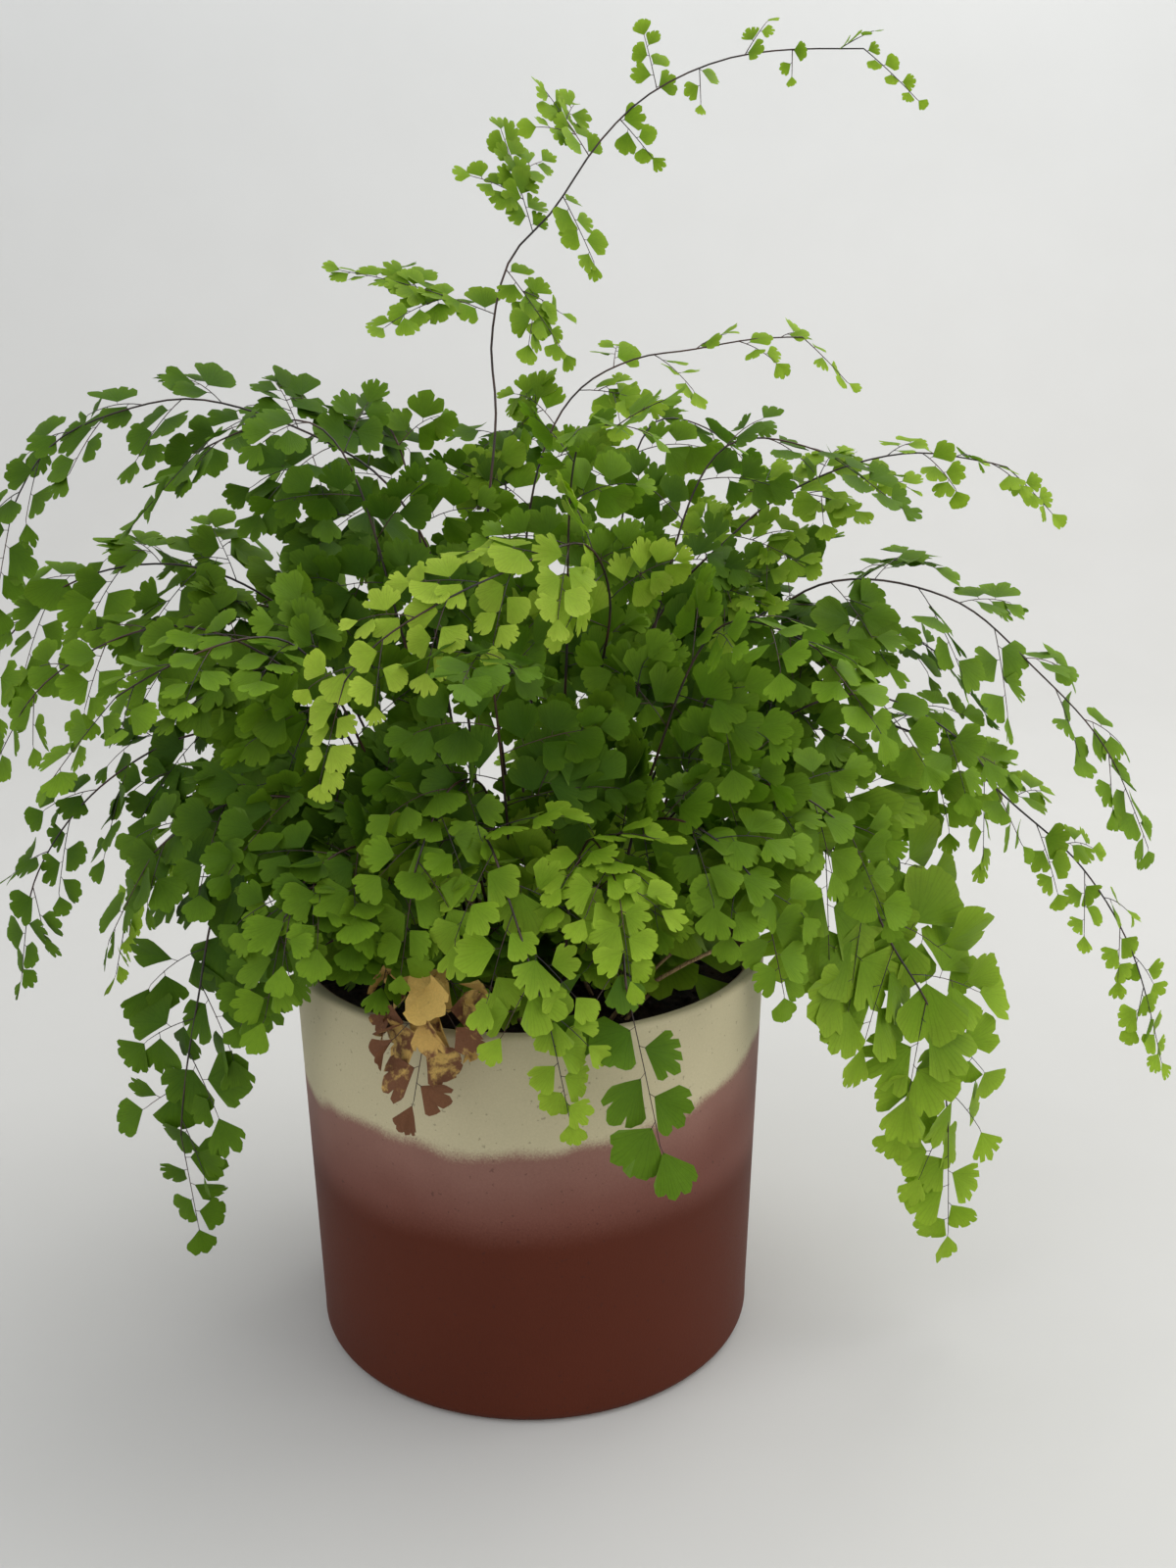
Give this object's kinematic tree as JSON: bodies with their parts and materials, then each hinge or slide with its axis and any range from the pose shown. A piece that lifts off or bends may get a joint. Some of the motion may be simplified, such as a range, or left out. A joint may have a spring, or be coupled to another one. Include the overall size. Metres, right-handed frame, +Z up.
{
  "type": "potted maidenhair fern",
  "caption": "Maidenhair fern with arching wiry fronds of fan-shaped leaflets, growing in a straight round ceramic pot filled with soil.",
  "frame": {"origin": "middle of the pot's flat underside", "axes": "+Z up along the pot axis, +X to the right as seen from the front, -Y towards the viewer"},
  "size_m": [0.4528, 0.2856, 0.4486],
  "materials": {
    "glaze": "satin",
    "soil": "matte",
    "leaf_dark": "satin",
    "leaf_mid": "satin",
    "leaf_bright": "satin",
    "leaf_golden": "satin",
    "leaf_withered": "matte"
  },
  "bodies": {
    "root": {"pot": "glaze", "soil": "soil", "frond_tall_back": "leaf_bright", "frond_right_upper": "leaf_bright", "frond_left_arch": "leaf_dark", "frond_left_far": "leaf_mid", "frond_left_low": "leaf_dark", "frond_left_hanging": "leaf_dark", "frond_left_middle": "leaf_mid", "frond_left_front": "leaf_dark", "frond_front_left": "leaf_dark", "frond_right_arch": "leaf_bright", "frond_right_shoulder": "leaf_mid", "frond_right_far": "leaf_bright", "frond_right_hanging": "leaf_bright", "frond_right_middle": "leaf_mid", "frond_right_front": "leaf_mid", "frond_front_right": "leaf_mid", "frond_front_middle": "leaf_mid", "frond_golden": "leaf_golden", "frond_front_bright": "leaf_bright", "frond_front_dark": "leaf_dark", "frond_withered": "leaf_withered", "frond_low_1": "leaf_mid", "frond_middle_2": "leaf_dark", "frond_upper_3": "leaf_mid", "frond_low_4": "leaf_bright", "frond_middle_5": "leaf_mid", "frond_upper_6": "leaf_dark", "frond_low_7": "leaf_mid", "frond_middle_8": "leaf_dark", "frond_upper_9": "leaf_mid", "frond_low_10": "leaf_bright", "frond_middle_11": "leaf_mid", "frond_upper_12": "leaf_dark", "frond_low_13": "leaf_mid", "frond_middle_14": "leaf_dark", "frond_upper_15": "leaf_mid", "frond_low_16": "leaf_bright", "frond_middle_17": "leaf_mid", "frond_upper_18": "leaf_dark"}
  },
  "joints": []
}
